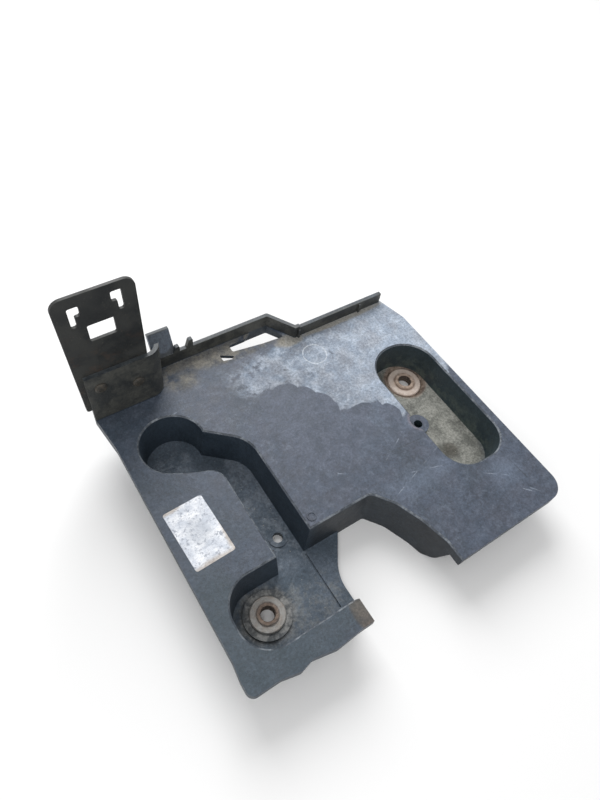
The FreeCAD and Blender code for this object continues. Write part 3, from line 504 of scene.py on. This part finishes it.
# %% Tray plastic: sheen and relief
dull = g.larger(chalk_here, both(shelf_dirt, on_deck))
sheen = g.ramp(g.larger(dull, g.times(on_floor, 0.8)), 0.0, 1.0, 0.48, 0.74)
g.feed(shader.inputs["Roughness"], g.plus(sheen, g.times(fine["Clouds"], 0.08)))
relief = g.plus(fine["Grain"], g.times(g.noise(point, 420.0, detail=4.0, roughness=0.6), 1.6))
relief = g.plus(relief, g.times(g.noise(point, 60.0), 2.5))
relief = g.minus(relief, g.times(g.plus(scratches, cracks), 0.8))
bump = g.add("ShaderNodeBump", {"Height": relief, "Strength": 0.22, "Distance": 0.6 * MM})
g.feed(shader.inputs["Normal"], bump.outputs[0])
print("tray nodes:", len(g.tree.nodes))

# %% [markdown]
# The bushes are plated steel. On the front one the washer is grey and limy, on the rear one it is tan.
# Collar and bore have gone brown with rust, and the bore's inside is painted nearly black, as painted
# shade.

# %% Bush steel


def bush_material(name, bolt, collar, bore, rusting, metal, steel_tones, rust_tones):
    """A bush's finish, round its bolt's axis. Collar and bore are radii in millimetres."""
    material, g, shader, point = new_material(name, 0.55)
    dirt = grime(g, point, cloud_scale=300.0, speck_scale=1500.0, cover=0.45)
    rust = patch(g, point, bolt.x, bolt.y, collar, collar,
                 wobble=0.05, wave=260.0, edge=0.16, z=4, half_z=90)["Mask"]
    rust = g.larger(g.times(rust, 0.85), g.times(dirt["Clouds"], rusting))
    steel = g.blend(g.noise(point, 700.0, detail=5.0, roughness=0.7), *steel_tones)
    brown = g.blend(dirt["Clouds"], *rust_tones)
    colour = g.blend(rust, steel, brown)
    # Painted shade: the bore's inside is painted nearly black, as a deep hole is shaded.
    bore_shade = patch(g, point, bolt.x, bolt.y, bore + 0.3, bore + 0.3,
                   wobble=0.0, edge=0.03, z=4, half_z=300)["Mask"]
    colour = g.blend(g.times(bore_shade, 0.85), colour, tone(34, 26, 21))
    colour = g.blend(g.times(dirt["Specks"], 0.5), colour, tone(176, 164, 148))
    g.feed(shader.inputs["Base Color"], colour)
    g.feed(shader.inputs["Metallic"], g.minus(metal, g.times(rust, metal)))
    g.feed(shader.inputs["Roughness"], g.ramp(rust, 0.0, 1.0, 0.5, 0.85))
    bump = g.add("ShaderNodeBump", {"Height": dirt["Clouds"], "Strength": 0.4, "Distance": 0.4 * MM})
    g.feed(shader.inputs["Normal"], bump.outputs[0])
    return material


front_bush_material = bush_material(
    "front_bush_steel", FRONT_BOLT, collar=7.2, bore=4.6, rusting=0.3, metal=0.25,
    steel_tones=(tone(104, 103, 100), tone(176, 175, 172)),
    rust_tones=(tone(92, 72, 60), tone(146, 124, 108)),
)
rear_bush_material = bush_material(
    "rear_bush_steel", REAR_BOLT, collar=9, bore=5, rusting=0.45, metal=0.1,
    steel_tones=(tone(200, 182, 170), tone(240, 228, 218)),
    rust_tones=(tone(138, 114, 98), tone(196, 174, 156)),
)
print("bush materials ready")

# %% [markdown]
# The bracket is sheet steel with thin dark paint, almost black and faintly olive. Dust greys it in soft
# clouds, and brown rust blooms show on its lower half.

# %% Bracket paint
bracket_material, g, shader, point = new_material("bracket_steel", 0.5)
dirt = grime(g, point, cloud_scale=52.0, speck_scale=800.0, cover=0.3)
paint = g.blend(dirt["Clouds"], tone(26, 28, 28), tone(42, 43, 41))
height = g.add("ShaderNodeSeparateXYZ", {0: point}).outputs["Z"]
bloom = g.clumps(point, 110.0, 0.5, 0.66, detail=6.0, roughness=0.68)
bloom = g.times(bloom, g.ramp(height, 125 * MM, 75 * MM))
paint = g.blend(g.times(bloom, 0.5), paint, tone(66, 52, 42))
paint = g.blend(g.times(dirt["Specks"], 0.35), paint, tone(92, 86, 74))
g.feed(shader.inputs["Base Color"], paint)
g.feed(shader.inputs["Roughness"], g.ramp(dirt["Clouds"], 0.0, 1.0, 0.46, 0.66))
relief = g.plus(g.noise(point, 240.0, detail=5.0, roughness=0.6), dirt["Grain"])
bump = g.add("ShaderNodeBump", {"Height": relief, "Strength": 0.25, "Distance": 0.4 * MM})
g.feed(shader.inputs["Normal"], bump.outputs[0])
print("bracket nodes:", len(g.tree.nodes))

# %% [markdown]
# The rivets are small steel domes, dull and dark with oily dust and a few pale specks.

# %% Rivet steel
rivet_material, g, shader, point = new_material("rivet_steel", 0.6, 0.2)
dirt = grime(g, point, cloud_scale=420.0, speck_scale=1500.0, cover=0.3)
dome = g.blend(dirt["Clouds"], tone(44, 43, 39), tone(70, 64, 56))
g.feed(shader.inputs["Base Color"], g.blend(g.times(dirt["Specks"], 0.5), dome, tone(112, 104, 92)))
print("rivet nodes:", len(g.tree.nodes))

# %% [markdown]
# The label has lost its print. What is left is white paper with fine creases painted grey as painted
# shade, small flakes where the surface has lifted, and a thin brown edge at its lower end.

# %% Label paper
label_material, g, shader, point = new_material("label_film", 0.7)
dirt = grime(g, point, cloud_scale=120.0, speck_scale=1100.0, cover=0.45)
paper = g.blend(dirt["Clouds"], tone(206, 212, 222), tone(246, 248, 252))
flakes = g.clumps(point, 380.0, 0.53, 0.6, detail=6.0, roughness=0.75)
paper = g.blend(g.times(flakes, 0.9), paper, tone(158, 164, 176))
across = g.vector("MULTIPLY", point, (1.0, 3.2, 1.0))
folds = g.noise(across, 210.0, detail=5.0, roughness=0.7)
fold_and_shade = g.ramp(g.math("ABSOLUTE", g.minus(folds, 0.5)), 0.0, 0.02, 1.0, 0.0)
# Painted shade: the creases are painted grey, and the same mask gives them their relief.
paper = g.blend(g.times(fold_and_shade, 0.6), paper, tone(140, 144, 154))
worn = patch(g, point, 19, -100, 7, 9, wobble=0.3, wave=220.0, edge=0.4)["Mask"]
paper = g.blend(g.times(worn, 0.35), paper, tone(170, 176, 184))
brown = patches(g, point, [(20, -122, 20, 3), (33.5, -114, 2.5, 12), (8, -79, 9, 2)],
                wobble=0.3, wave=240.0, edge=0.5)
paper = g.blend(g.times(brown, 0.6), paper, tone(170, 154, 134))
g.feed(shader.inputs["Base Color"], paper)
bump = g.add("ShaderNodeBump", {"Height": fold_and_shade, "Strength": 0.3, "Distance": 0.3 * MM})
g.feed(shader.inputs["Normal"], bump.outputs[0])
print("label nodes:", len(g.tree.nodes))

# %% [markdown]
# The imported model's meshes are left as they are. Each one gets its finish in its only material slot.

# %% Give each piece its finish
finishes = {
    "tray": tray_material,
    "front_bush": front_bush_material,
    "rear_bush": rear_bush_material,
    "bracket": bracket_material,
    "label": label_material,
    "left_rivet": rivet_material,
    "right_rivet": rivet_material,
}
for name, material in finishes.items():
    mesh = nodes[name].data
    mesh.materials.clear()
    mesh.materials.append(material)
print("finished pieces:", len(finishes))

# %% [markdown]
# Lime grains and crumbs of dirt lie loose on the pocket floors. A geometry node tree scatters them on a
# flat patch of floor: it spreads points by a density and a seed, puts a small lump on each point with its
# own size and turn, and gives them all one material. The same tree serves every floor.

# %% Grit scatter tree
grit_tree = bpy.data.node_groups.new("Grit scatter", "GeometryNodeTree")
GRIT_INPUTS = [
    ("Patch", "Geometry", None), ("Density", "Float", 9000.0), ("Seed", "Int", 1),
    ("Smallest", "Float", 0.12 * MM), ("Largest", "Float", 0.45 * MM), ("Finish", "Material", None),
]
for socket_name, kind, value in GRIT_INPUTS:
    socket = grit_tree.interface.new_socket(socket_name, in_out="INPUT", socket_type=f"NodeSocket{kind}")
    if value is not None:
        socket.default_value = value
grit_tree.interface.new_socket("Grit", in_out="OUTPUT", socket_type="NodeSocketGeometry")
g = Graph(grit_tree)
given = g.add("NodeGroupInput").outputs
result = g.add("NodeGroupOutput")
points = g.add("GeometryNodeDistributePointsOnFaces", {
    "Mesh": given["Patch"], "Density": given["Density"], "Seed": given["Seed"]}).outputs["Points"]
lump = g.add("GeometryNodeMeshIcoSphere", {"Radius": 1.0, "Subdivisions": 1}).outputs["Mesh"]
size = g.add("FunctionNodeRandomValue", data_type="FLOAT")
for name, value in (("Min", given["Smallest"]), ("Max", given["Largest"]), ("Seed", given["Seed"])):
    g.feed(next(item for item in size.inputs if item.name == name and item.enabled), value)
spin = g.add("FunctionNodeRandomValue", data_type="FLOAT_VECTOR")
FULL_TURN = (6.3, 6.3, 6.3)
g.feed(next(item for item in spin.inputs if item.name == "Max" and item.enabled), FULL_TURN)
spread = g.add("GeometryNodeInstanceOnPoints", {
    "Points": points, "Instance": lump, "Rotation": next(item for item in spin.outputs if item.enabled),
    "Scale": next(item for item in size.outputs if item.enabled)}).outputs["Instances"]
real = g.add("GeometryNodeRealizeInstances", {"Geometry": spread}).outputs["Geometry"]
painted = g.add("GeometryNodeSetMaterial", {"Geometry": real, "Material": given["Finish"]})
g.feed(result.inputs["Grit"], painted.outputs["Geometry"])
print("grit tree nodes:", len(grit_tree.nodes))

# %% [markdown]
# Each floor patch is a plain polygon at the floor's level, kept a little inside the pocket's foot. The
# grains are centred on that level, so each one sits half sunk in the grime and none hangs in the air.

# %% Grit material and pieces
grit_material, g, shader, point = new_material("grit", 0.9)
mix = g.clumps(point, 700.0, 0.42, 0.56, detail=2.0)
g.feed(shader.inputs["Base Color"], g.blend(mix, tone(70, 66, 60), tone(176, 174, 166)))
SMALLEST_GRAIN = 0.1
# Each floor: its level, a seed, grains for each square metre, the largest grain and the outline
FLOORS = {
    "channel_grit": (BASIN_FLOOR, 5, 24000.0, 0.42, [
        (57, -76), (62, -70), (72, -80), (74, -96), (74, -134), (58, -134)]),
    "pot_grit": (BASIN_FLOOR, 8, 9000.0, 0.3, [
        (22, -44), (20, -34), (26, -24), (40, -24), (46, -34), (42, -48), (30, -50)]),
    "pocket_grit": (BASIN_FLOOR, 3, 16000.0, 0.42, [
        (52, -148), (72, -148), (72, -176), (46, -177), (51, -166), (51, -152)]),
    "recess_grit": (RECESS_FLOOR, 6, 9000.0, 0.4, [
        (204, -80), (230, -80), (232, -134), (222, -144), (208, -144), (201, -132), (204, -112)]),
}
for name, (level, seed, density, largest, outline) in FLOORS.items():
    mesh = bpy.data.meshes.new(name)
    mesh.from_pydata([at(x, y, level) for x, y in outline], [], [list(range(len(outline)))])
    source = bpy.data.objects.new(f"{name}_patch", mesh)
    bpy.context.collection.objects.link(source)
    scatter = source.modifiers.new("scatter", "NODES")
    scatter.node_group = grit_tree
    items = grit_tree.interface.items_tree
    sockets = {item.name: item.identifier for item in items if item.in_out == "INPUT"}
    chosen = {"Density": density, "Seed": seed, "Smallest": SMALLEST_GRAIN * MM, "Largest": largest * MM,
              "Finish": grit_material}
    for socket_name, value in chosen.items():
        scatter[sockets[socket_name]] = value
    source.update_tag()
    evaluated = source.evaluated_get(bpy.context.evaluated_depsgraph_get())
    baked = bpy.data.meshes.new_from_object(evaluated)
    bpy.data.objects.remove(source)
    grit = bpy.data.objects.new(name, baked)
    bpy.context.collection.objects.link(grit)
    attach(grit, "root")
    print(name, "faces:", len(baked.polygons))

# %% [markdown]
# The tray lies on a plain pale floor. It is matte and nearly white, so under the open sky it shows as
# white, and near the tray it still takes a soft shadow. It lies a hair under the tray, so that the two
# surfaces never share a level.

# %% Floor
FLOOR_SIZE = 6
FLOOR_LEVEL = -0.2 * MM
bpy.ops.mesh.primitive_plane_add(size=FLOOR_SIZE, location=(0, 0, FLOOR_LEVEL))
floor = bpy.context.object
floor.name = "floor"
floor_material, g, shader, point = new_material("floor_white", 0.9)
shader.inputs["Base Color"].default_value = (0.9, 0.9, 0.9, 1)
shader.inputs["Specular IOR Level"].default_value = 0.1
floor.data.materials.append(floor_material)
print("floor ready")

# %% [markdown]
# The light is that of an overcast sky: one wide soft lamp above and behind the tray, a weaker one in
# front, and an even pale world. The camera and reflections see that world as white, and the rest of the
# light on the tray comes from it at about half that strength.

# %% Light
world = bpy.data.worlds.new("sky")
bpy.context.scene.world = world
world.use_nodes = True
world.node_tree.nodes.clear()
g = Graph(world.node_tree)
path = g.add("ShaderNodeLightPath").outputs
SKY_WHITE = 1.0
SKY_LIGHT = 0.55
seen = g.larger(path["Is Camera Ray"], path["Is Glossy Ray"])
strength = g.plus(g.times(seen, SKY_WHITE - SKY_LIGHT), SKY_LIGHT)
background = g.add("ShaderNodeBackground", {"Color": (1, 1, 1, 1), "Strength": strength})
g.add("ShaderNodeOutputWorld", {"Surface": background.outputs[0]})


def soft_lamp(name, place, target, size, watts):
    """A square lamp that looks at its target."""
    lamp = bpy.data.objects.new(name, bpy.data.lights.new(name, "AREA"))
    lamp.data.shape = "SQUARE"
    lamp.data.size = size
    lamp.data.energy = watts
    lamp.location = place
    lamp.rotation_euler = (target - place).to_track_quat("-Z", "Y").to_euler()
    bpy.context.collection.objects.link(lamp)


middle = at(125, -90, 20)
soft_lamp("sky_behind", middle + Vector((0.25, 0.9, 0.9)), middle, size=0.9, watts=14)
soft_lamp("sky_front", middle + Vector((-0.7, -0.6, 1.0)), middle, size=1.0, watts=5)
print("lamps ready")

# %% [markdown]
# The camera stands above the front left corner and looks down across the deck. Its place, turn and lens
# come from the directions in which the tray's straight edges run in the photograph.

# %% Camera
LENS = 26.9
EYE = Vector((-74.1, -76.3, 379.7)) * MM
RIGHT = Vector((0.8325, -0.5436, 0.1068))
UP = Vector((0.3942, 0.7168, 0.5751))
BACK = Vector((-0.3892, -0.4367, 0.8111))
camera = bpy.data.objects.new("camera", bpy.data.cameras.new("camera"))
bpy.context.collection.objects.link(camera)
camera.data.lens = LENS
camera.data.clip_start = 0.01
turn = Matrix((RIGHT, UP, BACK)).transposed()
camera.matrix_world = Matrix.Translation(EYE) @ turn.to_4x4()
bpy.context.scene.camera = camera
bpy.context.scene.view_settings.view_transform = "Standard"
print("camera at", [round(v, 3) for v in EYE])
